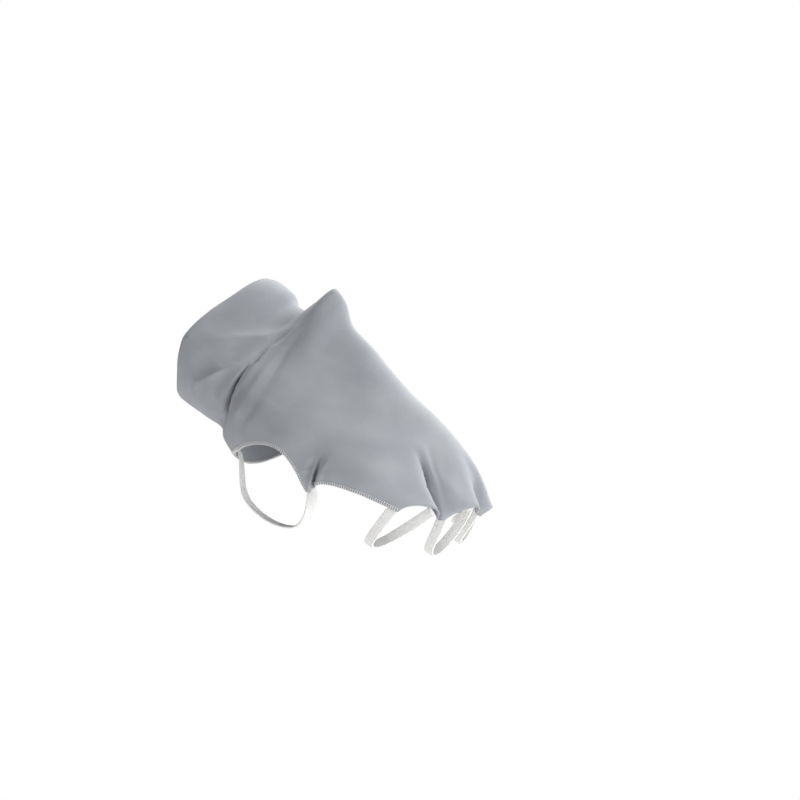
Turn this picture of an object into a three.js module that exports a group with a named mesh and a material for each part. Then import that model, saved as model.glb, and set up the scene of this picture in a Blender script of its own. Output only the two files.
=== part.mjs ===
import * as THREE from "three";
import { mergeVertices } from "three/addons/utils/BufferGeometryUtils.js";

// The glove keeps the form it has on a left hand, in millimetres. X runs to the fingers, Y to the
// little finger, Z out of the back of the hand, and the origin is in the middle of the wrist hollow.

const clothThickness = 1.0;
const linesPerOutlineRow = 2;
const seatGap = 0.3;
const bandWidth = 4.4;
const bandThickness = 1.0;
const bandSteps = 30;
const bandTuck = 0.012;
const bandTucks = 3;
const bandEase = 0.55;
const lieShare = 0.3;
const sagShare = 0.6;
const mergeTolerance = 1e-4;
const slopeStep = 1e-3;
const foldReach = 0.1;

const clothColour = 0xaab2bb;
const bandColour = 0xf2f1ee;
const clothRoughness = 0.8;
const bandRoughness = 0.7;

function table(columns, values) {
  return values.map((row) => Object.fromEntries(columns.map((name, i) => [name, row[i]])));
}

// Cross-sections from the cuff's rim to the finger ends: the hand's oval, and the ridge of the cloth
// that is drawn up off the back of the hand.
const form = table(
  ["x", "thumbY", "littleY", "midZ", "palmZ", "backZ", "ridgeY", "ridgeZ", "sag", "soft"],
  [
    [-14, -33.5, 34, 3, -24, 26.4, 10, 36, 0, 0.32],
    [-7, -33.7, 34, 2.5, -24, 26, 10, 38.2, 0, 0.3],
    [0, -34, 34, 2, -24, 25, 10, 37.4, 0, 0.26],
    [6, -35, 34.4, 1, -25, 23.5, 7.5, 34.6, 0.1, 0.2],
    [13, -36, 35, 0, -26, 22, 5, 35.4, 0.3, 0.15],
    [17.5, -37, 35.5, 0, -28, 22, 3, 43, 0.7, 0.08],
    [22, -38.5, 36, -1, -29, 21, 2, 51.6, 0.9, 0.05],
    [27, -40, 37, -2, -30, 20, 3, 49.4, 0.8, 0.06],
    [36, -42, 38, -3, -31, 19, 4, 41.4, 0.6, 0.08],
    [50, -43, 40, -4, -29, 18, 6, 37, 0.4, 0.1],
    [66, -42, 43, -5, -27, 17, 7, 31.6, 0.3, 0.13],
    [86, -40, 45.5, -5, -24, 15, 11, 26.2, 0.1, 0.13],
    [100, -35, 46, -6, -22, 11, 14, 21.4, 0, 0.1],
    [112, -32, 46, -8, -20, 6, 16, 14.2, 0, 0.07],
    [124, -30, 45, -11, -19, 1, 15, 5.2, 0, 0.05],
  ],
);

// The cut edge of the cloth. Turn is 0 at the middle of the palm, 0.25 at the thumb, 0.5 at the back
// and 0.75 at the little finger. Each row is a line of the cloth from the rim to the edge.
const outline = table(
  ["rimX", "rimTurn", "waistX", "waistTurn", "endX", "endTurn", "corner"],
  [
    [-11, 0.0, 8, 0.0, 28, 0.0, 0],
    [-11, 0.04, 8, 0.035, 28, 0.03, 0],
    [-11, 0.07, 8, 0.065, 27.5, 0.06, 0],
    [-10.5, 0.1, 8, 0.095, 27, 0.085, 0],
    [-10, 0.125, 9, 0.12, 28, 0.112, 0],
    [-9.5, 0.15, 12, 0.152, 32, 0.15, 0],
    [-9.5, 0.175, 15, 0.185, 37, 0.192, 0],
    [-10, 0.2, 19, 0.214, 43, 0.224, 0],
    [-11, 0.223, 24, 0.238, 50, 0.2435, 0],
    [-11.8, 0.242, 30, 0.252, 56.5, 0.243, 0],
    [-12.3, 0.258, 36, 0.262, 62.9, 0.2244, 0],
    [-12.7, 0.272, 41, 0.272, 67.2, 0.197, 0],
    [-13, 0.284, 44, 0.281, 69.4, 0.18, 1],
    [-13.2, 0.296, 47, 0.289, 71.2, 0.184, 1],
    [-13.3, 0.309, 49, 0.297, 72.3, 0.215, 0],
    [-13.4, 0.322, 51, 0.305, 75, 0.237, 0],
    [-13.4, 0.337, 53, 0.315, 80.6, 0.2556, 0],
    [-13.4, 0.353, 54, 0.328, 88.6, 0.2722, 0],
    [-13.4, 0.37, 54, 0.342, 95.5, 0.284, 0],
    [-13.4, 0.387, 54, 0.357, 101.5, 0.297, 0],
    [-13.3, 0.404, 53, 0.372, 105.3, 0.3067, 1],
    [-13.2, 0.42, 52, 0.39, 106, 0.335, 0],
    [-13, 0.436, 51, 0.409, 108, 0.365, 0],
    [-12.8, 0.452, 51, 0.429, 111.5, 0.395, 0],
    [-12.6, 0.468, 51, 0.449, 118, 0.443, 1],
    [-12.4, 0.484, 51, 0.469, 118.5, 0.462, 0],
    [-12.2, 0.5, 51, 0.489, 119.4, 0.482, 0],
    [-12, 0.517, 51, 0.509, 121, 0.504, 0],
    [-12, 0.534, 51, 0.53, 124, 0.526, 1],
    [-12, 0.552, 51, 0.552, 121.3, 0.549, 0],
    [-12, 0.57, 51, 0.574, 119.5, 0.578, 0],
    [-12, 0.588, 50, 0.595, 118.5, 0.605, 1],
    [-12, 0.606, 49, 0.616, 113, 0.632, 0],
    [-12, 0.625, 48, 0.638, 108, 0.662, 0],
    [-12, 0.644, 46, 0.661, 104, 0.698, 1],
    [-12, 0.664, 44, 0.683, 95, 0.715, 0],
    [-12, 0.686, 41, 0.704, 82, 0.728, 0],
    [-12, 0.71, 36, 0.726, 68, 0.742, 0],
    [-12, 0.737, 30, 0.75, 55, 0.762, 0],
    [-12, 0.766, 24, 0.777, 45, 0.788, 0],
    [-12, 0.798, 19, 0.808, 37.5, 0.82, 0],
    [-12, 0.833, 14, 0.842, 32, 0.857, 0],
    [-12, 0.87, 11, 0.88, 29.5, 0.895, 0],
    [-12, 0.91, 9, 0.918, 28.5, 0.933, 0],
    [-11.5, 0.955, 8, 0.96, 28, 0.967, 0],
  ],
);

// Rows across the longest lines of the cloth, closer together where it is drawn up and creased.
// Shorter lines keep these rows up to evenRowsX and squeeze the others before their ends.
const firstRowX = -12;
const evenRowsX = 13;
const lastRowX = 124;
const evenShare = 0.2;
const rowSpans = table(
  ["toX", "rows"],
  [
    [5, 3],
    [30, 12],
    [60, 4],
    [lastRowX, 9],
  ],
);

// Folds of the drawn cloth, as lines that pass through x and turn with a height and a half width.
const foldColumns = ["x", "turn", "height", "halfWidth"];
const folds = [
  // pull from the drawn-up point down across the cuff
  table(foldColumns, [
    [19.4, 0.484, 0.3, 4],
    [17.1, 0.458, 1.8, 4],
    [16.4, 0.408, 2.2, 4],
    [14.7, 0.36, 2.2, 4],
    [10.7, 0.296, 1.6, 4],
    [2.7, 0.201, 0.3, 4],
  ]),
  // hollow beside it
  table(foldColumns, [
    [20.1, 0.479, -0.2, 3],
    [19.6, 0.439, -1.4, 3],
    [20.6, 0.387, -1.6, 3],
    [21.1, 0.342, -0.8, 3],
  ]),
  // deep crease over the root of the thumb
  table(foldColumns, [
    [18.6, 0.36, -0.2, 3],
    [19.2, 0.302, -2.8, 3],
    [19.8, 0.264, -3.8, 3],
    [19.4, 0.217, -4.2, 3.2],
    [17.6, 0.18, -4.4, 3.8],
    [13, 0.13, -4.6, 5],
    [9, 0.06, -3.0, 6],
    [7, 0.0, -0.6, 6],
  ]),
  // second pull
  table(foldColumns, [
    [21.4, 0.47, 0.2, 4],
    [23.8, 0.443, 0.8, 4],
    [28.4, 0.39, 0.9, 4.5],
    [32.1, 0.321, 0.7, 4.5],
    [33.8, 0.248, 0.2, 4.5],
  ]),
  // edge of the flat side of the cuff
  table(foldColumns, [
    [-13, 0.293, 1.4, 5],
    [0, 0.295, 1.0, 5],
    [9.4, 0.297, 0.2, 5],
  ]),
  // gathers at the root of the thumb
  table(foldColumns, [
    [73, 0.235, -1.6, 2.6],
    [71.4, 0.261, -2.0, 2.6],
    [69.5, 0.288, -1.4, 3],
    [67.2, 0.322, -0.2, 3.2],
  ]),
  table(foldColumns, [
    [77, 0.25, 0.6, 3],
    [76, 0.29, 0.9, 3],
    [74, 0.323, 0.2, 3],
  ]),
  // hollows between the fingers
  table(foldColumns, [
    [92, 0.466, -0.3, 3.4],
    [99.6, 0.449, -2.2, 3.6],
    [106, 0.442, -4.4, 4],
    [118, 0.443, -8.2, 5.2],
  ]),
  table(foldColumns, [
    [100, 0.516, -0.3, 3.4],
    [112, 0.519, -3.0, 3.6],
    [124, 0.526, -6.6, 4.4],
  ]),
  table(foldColumns, [
    [98, 0.6, -0.3, 3.4],
    [108, 0.602, -2.4, 3.6],
    [118.5, 0.605, -4.0, 4.0],
  ]),
];

// Bands of elastic round the underside of each finger, tucked under the cloth at both ends.
const fingerBands = table(
  ["name", "startX", "startTurn", "endX", "endTurn", "lowX", "lowZ"],
  [
    ["index_loop", 103.2, 0.3095, 113, 0.426, 99, -22.5],
    ["middle_loop", 115.5, 0.453, 118.5, 0.509, 114, -20],
    ["ring_loop", 116.8, 0.544, 113.2, 0.598, 113.5, -17.5],
    ["little_loop", 112.5, 0.617, 101, 0.692, 105, -15.5],
  ],
);

// Shape of a finger band on each side of its lowest point, from the cloth down: half width and drop
// as shares of the band's own.
const bandShape = table(
  ["halfWidth", "drop"],
  [
    [0.98, 0.45],
    [0.72, 0.88],
  ],
);

// The thumb's band runs behind the root of the thumb, from the cloth point to the palm side of the cuff.
const thumbBandTip = table(
  ["x", "turn"],
  [
    [69.4, 0.212],
    [70, 0.193],
    [70.8, 0.176],
  ],
);
const thumbBandCuff = table(
  ["x", "turn"],
  [
    [27, 0.09],
    [22, 0.09],
  ],
);
const thumbBandPath = table(
  ["x", "y", "z"],
  [
    [73, -34, -22],
    [68, -28, -33],
    [54, -24, -39],
    [40, -23, -37],
  ],
);

// Monotone curve through one column of the cross-sections.
function columnAt(name, x) {
  const last = form.length - 1;
  const slopes = form.slice(1).map((row, i) => (row[name] - form[i][name]) / (row.x - form[i].x));
  const tangent = (i) => {
    if (i === 0) return slopes[0];
    if (i === last) return slopes[last - 1];
    if (slopes[i - 1] * slopes[i] <= 0) return 0;
    return (2 * slopes[i - 1] * slopes[i]) / (slopes[i - 1] + slopes[i]);
  };
  let i = 0;
  while (i < last - 1 && x > form[i + 1].x) i += 1;
  const span = form[i + 1].x - form[i].x;
  const t = (x - form[i].x) / span;
  const rise = t * t * (3 - 2 * t);
  const easeOut = t * (1 - t) * (1 - t);
  const easeIn = t * t * (t - 1);
  return (
    form[i][name] * (1 - rise) +
    form[i + 1][name] * rise +
    (easeOut * tangent(i) + easeIn * tangent(i + 1)) * span
  );
}

// Point of the smooth form: the oval of the hand with the cloth stretched straight up to the ridge.
function formPoint(x, turn) {
  const at = Object.fromEntries(Object.keys(form[0]).map((name) => [name, columnAt(name, x)]));
  const angle = -Math.PI / 2 - turn * 2 * Math.PI;
  const halfWidth = (at.littleY - at.thumbY) / 2;
  const midY = (at.littleY + at.thumbY) / 2;
  const backRise = at.backZ - at.midZ;
  const palmDrop = at.midZ - at.palmZ;
  const ridgeAcross = (at.ridgeY - midY) / halfWidth;
  const ridgeUp = (at.ridgeZ - at.midZ) / backRise;
  const reach = Math.max(Math.hypot(ridgeAcross, ridgeUp), 1 + mergeTolerance);
  const wallAngle = Math.acos(1 / reach);
  const fromRidge = angle - Math.atan2(ridgeUp, ridgeAcross);
  const wrapped = Math.atan2(Math.sin(fromRidge), Math.cos(fromRidge));
  const soft = Math.hypot(wrapped, at.soft) - at.soft;
  const share = Math.min(soft / wallAngle, 1);
  const straight = 1 / Math.cos(Math.max(0, wallAngle - soft));
  const sag = 1 - at.sag * sagShare * 4 * share * (1 - share);
  const radius = 1 + (straight - 1) * sag;
  const depth = Math.sin(angle) > 0 ? backRise : palmDrop;
  return new THREE.Vector3(
    x,
    midY + halfWidth * radius * Math.cos(angle),
    at.midZ + depth * radius * Math.sin(angle),
  );
}

const foldLines = folds.map((rows) =>
  rows.map((row) => ({ ...row, point: formPoint(row.x, row.turn) })),
);

// Height of all folds at a point of the smooth form.
function foldHeight(point, turn) {
  let height = 0;
  const nearest = new THREE.Vector3();
  const segment = new THREE.Line3();
  for (const rows of foldLines) {
    let best = null;
    for (let i = 1; i < rows.length; i += 1) {
      segment.set(rows[i - 1].point, rows[i].point);
      const along = segment.closestPointToPointParameter(point, true);
      segment.at(along, nearest);
      const distance = nearest.distanceTo(point);
      const lineTurn = THREE.MathUtils.lerp(rows[i - 1].turn, rows[i].turn, along);
      if (Math.abs(lineTurn - turn) < foldReach && (best === null || distance < best.distance)) {
        best = {
          distance,
          height: THREE.MathUtils.lerp(rows[i - 1].height, rows[i].height, along),
          halfWidth: THREE.MathUtils.lerp(rows[i - 1].halfWidth, rows[i].halfWidth, along),
        };
      }
    }
    if (best !== null) height += best.height * Math.exp(-((best.distance / best.halfWidth) ** 2));
  }
  return height;
}

function normalAt(surface, x, turn) {
  const alongX = surface(x + slopeStep, turn).sub(surface(x - slopeStep, turn));
  const alongTurn = surface(x, turn + slopeStep).sub(surface(x, turn - slopeStep));
  return alongX.cross(alongTurn).normalize();
}

// Point of the worn cloth, folds included, at a depth below its outer face.
function clothPoint(x, turn) {
  const point = formPoint(x, turn);
  return point.addScaledVector(normalAt(formPoint, x, turn), foldHeight(point, turn));
}

function clothPointBelow(x, turn, depth) {
  return clothPoint(x, turn).addScaledVector(normalAt(clothPoint, x, turn), -depth);
}

// Column of the outline between two rows, with the curve broken at the corners.
function outlineAt(name, position) {
  const count = outline.length;
  const i = Math.floor(position) % count;
  const t = position - Math.floor(position);
  const wraps = name.endsWith("Turn");
  const valueAt = (index) => {
    const turns = Math.floor(index / count);
    return outline[index - turns * count][name] + (wraps ? turns : 0);
  };
  const from = valueAt(i);
  const to = valueAt(i + 1);
  const before = outline[i].corner === 1 ? 2 * from - to : valueAt(i - 1);
  const after = outline[(i + 1) % count].corner === 1 ? 2 * to - from : valueAt(i + 2);
  return (
    from +
    0.5 *
      t *
      (to - before + t * (2 * before - 5 * from + 4 * to - after + t * (3 * (from - to) + after - before)))
  );
}

// Place on the cloth where a line, which bends once on its way from the rim to the edge, meets a row.
function chart(position, rowX) {
  const [rimX, waistX, endX] = ["rimX", "waistX", "endX"].map((name) => outlineAt(name, position));
  const turns = ["rimTurn", "waistTurn", "endTurn"].map((name) => outlineAt(name, position));
  const before = Math.min((rowX - firstRowX) / (evenRowsX - firstRowX), 1);
  const after = Math.max((rowX - evenRowsX) / (lastRowX - evenRowsX), 0);
  const squeeze = (lastRowX - evenRowsX) / (endX - evenRowsX);
  const squeezed = THREE.MathUtils.lerp(1 - (1 - after) ** squeeze, after, evenShare);
  const x = rimX + (evenRowsX - rimX) * before + (endX - evenRowsX) * squeezed;
  const pullX = 2 * waistX - (rimX + endX) / 2;
  const bend = rimX - 2 * pullX + endX;
  const slope = pullX - rimX;
  const share = (x - rimX) / (slope + Math.sqrt(slope ** 2 + bend * (x - rimX)));
  const pullTurn = 2 * turns[1] - (turns[0] + turns[2]) / 2;
  const turn =
    (1 - share) ** 2 * turns[0] + 2 * share * (1 - share) * pullTurn + share ** 2 * turns[2];
  return { x, turn };
}

function rowPlaces() {
  const places = [firstRowX];
  for (const span of rowSpans) {
    const from = places.at(-1);
    for (let i = 1; i <= span.rows; i += 1) {
      places.push(THREE.MathUtils.lerp(from, span.toX, i / span.rows));
    }
  }
  return places;
}

// Splits each four-sided cell across its shorter diagonal, so that slanting cells stay smooth.
function useShorterDiagonals(grid) {
  const index = grid.getIndex();
  const positions = grid.getAttribute("position");
  const corner = (i) => new THREE.Vector3().fromBufferAttribute(positions, i);
  for (let i = 0; i < index.count; i += 6) {
    const [a, b, d] = [index.getX(i), index.getX(i + 1), index.getX(i + 2)];
    const c = index.getX(i + 4);
    const isSplitLong = corner(b).distanceTo(corner(d)) > corner(a).distanceTo(corner(c));
    if (isSplitLong) [a, b, c, a, c, d].forEach((vertex, k) => index.setX(i + k, vertex));
  }
}

// The cloth is one sheet with a wall: the grid runs over the outer face to the edge and back inside.
function makeGloveBody() {
  const lines = outline.length * linesPerOutlineRow;
  const rows = rowPlaces();
  const clothRows = rows.length - 1;
  const sheet = new THREE.PlaneGeometry(1, 1, lines, 2 * clothRows + 2);
  sheet.deleteAttribute("normal");
  sheet.deleteAttribute("uv");
  const columns = lines + 1;
  const positions = sheet.getAttribute("position");
  for (let i = 0; i < positions.count; i += 1) {
    const position = ((i % columns) % lines) / linesPerOutlineRow;
    const step = Math.floor(i / columns) % (2 * clothRows + 2);
    const isInner = step > clothRows;
    const { x, turn } = chart(position, rows[isInner ? 2 * clothRows + 1 - step : step]);
    const point = clothPointBelow(x, turn, isInner ? clothThickness : 0);
    positions.setXYZ(i, point.x, point.y, point.z);
  }
  useShorterDiagonals(sheet);
  return mergeVertices(sheet, mergeTolerance);
}

// A flat band along a curve, its width lying as near to one direction as the curve allows.
function makeBand(points, acrossAt) {
  const curve = new THREE.CatmullRomCurve3(points);
  const band = new THREE.BoxGeometry(1, 1, 1, bandSteps, 1, 1);
  band.deleteAttribute("normal");
  band.deleteAttribute("uv");
  const positions = band.getAttribute("position");
  for (let i = 0; i < positions.count; i += 1) {
    const along = THREE.MathUtils.clamp(positions.getX(i) + 1 / 2, 0, 1);
    const tangent = curve.getTangentAt(along);
    const across = acrossAt(along);
    across.addScaledVector(tangent, -across.dot(tangent)).normalize();
    const normal = new THREE.Vector3().crossVectors(tangent, across);
    const point = curve
      .getPointAt(along)
      .addScaledVector(across, positions.getY(i) * bandWidth)
      .addScaledVector(normal, positions.getZ(i) * bandThickness);
    positions.setXYZ(i, point.x, point.y, point.z);
  }
  return mergeVertices(band, mergeTolerance);
}

// Direction across a band's width where the band is sewn on: along x or round the cloth.
function clothLie({ x, turn }, xHalf, turnHalf) {
  const ahead = clothPoint(x + xHalf, turn + turnHalf);
  return ahead.sub(clothPoint(x - xHalf, turn - turnHalf)).normalize();
}

// A band that starts and ends flat under the cloth, with free points between.
function makeSewnBand(start, end, between, [startLie, middleLie, endLie]) {
  const depth = clothThickness + seatGap + bandThickness / 2 + bandEase;
  const under = ({ x, turn }) => clothPointBelow(x, turn, depth);
  return makeBand([...start.map(under), ...between, ...end.map(under)], (along) => {
    const lie = middleLie.clone();
    lie.lerp(startLie, THREE.MathUtils.smoothstep(1 - along, 1 - lieShare, 1));
    return lie.lerp(endLie, THREE.MathUtils.smoothstep(along, 1 - lieShare, 1));
  });
}

function makeFingerBand(row) {
  const start = clothPoint(row.startX, row.startTurn);
  const end = clothPoint(row.endX, row.endTurn);
  const midY = (start.y + end.y) / 2;
  const hanging = (from, shape) =>
    new THREE.Vector3(
      THREE.MathUtils.lerp(from.x, row.lowX, shape.drop),
      THREE.MathUtils.lerp(midY, from.y, shape.halfWidth),
      THREE.MathUtils.lerp(from.z, row.lowZ, shape.drop),
    );
  const tucks = Array.from({ length: bandTucks }, (_, i) => i * bandTuck);
  const starts = tucks.map((tuck) => ({ x: row.startX, turn: row.startTurn + tuck })).reverse();
  const ends = tucks.map((tuck) => ({ x: row.endX, turn: row.endTurn - tuck }));
  const lowest = new THREE.Vector3(row.lowX, midY, row.lowZ);
  const down = bandShape.map((shape) => hanging(start, shape));
  const up = bandShape.map((shape) => hanging(end, shape)).reverse();
  return makeSewnBand(
    starts,
    ends,
    [...down, lowest, ...up],
    [
      clothLie(starts[0], bandWidth / 2, 0),
      new THREE.Vector3(1, 0, 0),
      clothLie(ends[0], bandWidth / 2, 0),
    ],
  );
}

function makeThumbBand() {
  return makeSewnBand(
    thumbBandTip,
    thumbBandCuff,
    thumbBandPath.map((row) => new THREE.Vector3(row.x, row.y, row.z)),
    [
      clothLie(thumbBandTip[1], bandWidth / 2, 0),
      new THREE.Vector3(0, 1, 0),
      clothLie(thumbBandCuff[0], 0, -bandTuck),
    ],
  );
}

function named(name, geometry, colour, roughness) {
  const material = new THREE.MeshStandardMaterial({ color: colour, roughness, metalness: 0 });
  const mesh = new THREE.Mesh(geometry, material);
  mesh.name = name;
  return mesh;
}

const glove = new THREE.Group();
glove.add(named("glove_body", makeGloveBody(), clothColour, clothRoughness));
glove.add(named("thumb_loop", makeThumbBand(), bandColour, bandRoughness));
for (const row of fingerBands) glove.add(named(row.name, makeFingerBand(row), bandColour, bandRoughness));

export default glove;
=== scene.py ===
import math

import bmesh
import bpy
import numpy as np
from mathutils import Matrix, Vector, kdtree


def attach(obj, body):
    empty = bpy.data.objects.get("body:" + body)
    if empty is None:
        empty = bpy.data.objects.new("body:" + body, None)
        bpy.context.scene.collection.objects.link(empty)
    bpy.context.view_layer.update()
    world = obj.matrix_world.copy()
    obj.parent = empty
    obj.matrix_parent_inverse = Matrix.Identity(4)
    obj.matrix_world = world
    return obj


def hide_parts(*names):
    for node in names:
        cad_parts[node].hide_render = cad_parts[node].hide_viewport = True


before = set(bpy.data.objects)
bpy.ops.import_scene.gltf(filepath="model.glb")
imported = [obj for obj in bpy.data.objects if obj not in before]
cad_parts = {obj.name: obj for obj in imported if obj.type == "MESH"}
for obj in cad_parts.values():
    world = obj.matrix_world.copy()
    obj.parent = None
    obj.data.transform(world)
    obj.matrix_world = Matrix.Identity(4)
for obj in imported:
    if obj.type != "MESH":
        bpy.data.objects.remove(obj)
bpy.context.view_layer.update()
print("frame loaded:", ", ".join(sorted(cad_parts)))

mm = 0.001
weldDistance = 1e-6


def columnTable(names, rows):
    # the rows of a table as one array per column
    return {name: np.array([row[i] for row in rows], float) for i, name in enumerate(names)}


# Shape of the worn cloth, in millimetres. Turn runs round the hand: 0 in the middle of the palm,
# 0.25 at the thumb, 0.5 on the back and 0.75 at the little finger.
clothForm = {
    # the oval of the hand at each x, the ridge of the drawn-up cloth, how far the cloth between
    # them sags, and how softly the ridge is rounded
    "sections": columnTable(
        ["x", "thumbY", "littleY", "midZ", "palmZ", "backZ", "ridgeY", "ridgeZ", "sag", "soft"],
        [
            (-14, -33.5, 34, 3, -24, 26.4, 10, 36, 0.0, 0.32),
            (-7, -33.7, 34, 2.5, -24, 26, 10, 38.2, 0.0, 0.3),
            (0, -34, 34, 2, -24, 25, 10, 37.4, 0.0, 0.26),
            (6, -35, 34.4, 1, -25, 23.5, 7.5, 34.6, 0.1, 0.2),
            (13, -36, 35, 0, -26, 22, 5, 35.4, 0.3, 0.15),
            (17.5, -37, 35.5, 0, -28, 22, 3, 43, 0.7, 0.08),
            (22, -38.5, 36, -1, -29, 21, 2, 51.6, 0.9, 0.05),
            (27, -40, 37, -2, -30, 20, 3, 49.4, 0.8, 0.06),
            (36, -42, 38, -3, -31, 19, 4, 41.4, 0.6, 0.08),
            (50, -43, 40, -4, -29, 18, 6, 37, 0.4, 0.1),
            (66, -42, 43, -5, -27, 17, 7, 31.6, 0.3, 0.13),
            (86, -40, 45.5, -5, -24, 15, 11, 26.2, 0.1, 0.13),
            (100, -35, 46, -6, -22, 11, 14, 21.4, 0.0, 0.1),
            (112, -32, 46, -8, -20, 6, 16, 14.2, 0.0, 0.07),
            (124, -30, 45, -11, -19, 1, 15, 5.2, 0.0, 0.05),
        ],
    ),
    # share of the way back to the oval that a full sag takes
    "sagShare": 0.6,
    # a ridge stands at least this far out, as a share of the oval
    "leastRidge": 1.0001,
    # step in x and in turn by which a normal is measured
    "slopeStep": 1e-3,
    # a fold reaches this much turn to each side
    "foldReach": 0.1,
    # slow waves of the loose cloth: length along x, y and z, and height
    "waves": [(31, 47, 60, 0.16), (-23, 29, 41, 0.12), (17, -19, 27, 0.07)],
}


def smoothColumn(name, x):
    # monotone curve through one column of the sections
    places, values = clothForm["sections"]["x"], clothForm["sections"][name]
    spans = np.diff(places)
    slopes = np.diff(values) / spans
    product, total = slopes[:-1] * slopes[1:], slopes[:-1] + slopes[1:]
    inner = np.where(product > 0, 2 * product / np.where(total == 0, 1, total), 0)
    tangents = np.concatenate([slopes[:1], inner, slopes[-1:]])
    i = np.clip(np.searchsorted(places, x) - 1, 0, len(spans) - 1)
    t = (x - places[i]) / spans[i]
    rise = t * t * (3 - 2 * t)
    level = values[i] * (1 - rise) + values[i + 1] * rise
    return level + (t * (1 - t) ** 2 * tangents[i] + t * t * (t - 1) * tangents[i + 1]) * spans[i]


def formPoint(x, turn):
    # the oval of the hand, with the cloth stretched straight up to the drawn-up ridge
    at = {name: smoothColumn(name, x) for name in clothForm["sections"] if name != "x"}
    angle = -math.pi / 2 - turn * 2 * math.pi
    halfWidth = (at["littleY"] - at["thumbY"]) / 2
    midY = (at["littleY"] + at["thumbY"]) / 2
    backRise, palmDrop = at["backZ"] - at["midZ"], at["midZ"] - at["palmZ"]
    ridgeAcross = (at["ridgeY"] - midY) / halfWidth
    ridgeUp = (at["ridgeZ"] - at["midZ"]) / backRise
    wallAngle = np.arccos(1 / np.maximum(np.hypot(ridgeAcross, ridgeUp), clothForm["leastRidge"]))
    fromRidge = angle - np.arctan2(ridgeUp, ridgeAcross)
    wrapped = np.arctan2(np.sin(fromRidge), np.cos(fromRidge))
    soft = np.hypot(wrapped, at["soft"]) - at["soft"]
    share = np.minimum(soft / wallAngle, 1)
    straight = 1 / np.cos(np.maximum(0, wallAngle - soft))
    radius = 1 + (straight - 1) * (1 - at["sag"] * clothForm["sagShare"] * 4 * share * (1 - share))
    depth = np.where(np.sin(angle) > 0, backRise, palmDrop)
    y = midY + halfWidth * radius * np.cos(angle)
    return np.stack([x, y, at["midZ"] + depth * radius * np.sin(angle)], axis=-1)


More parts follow.
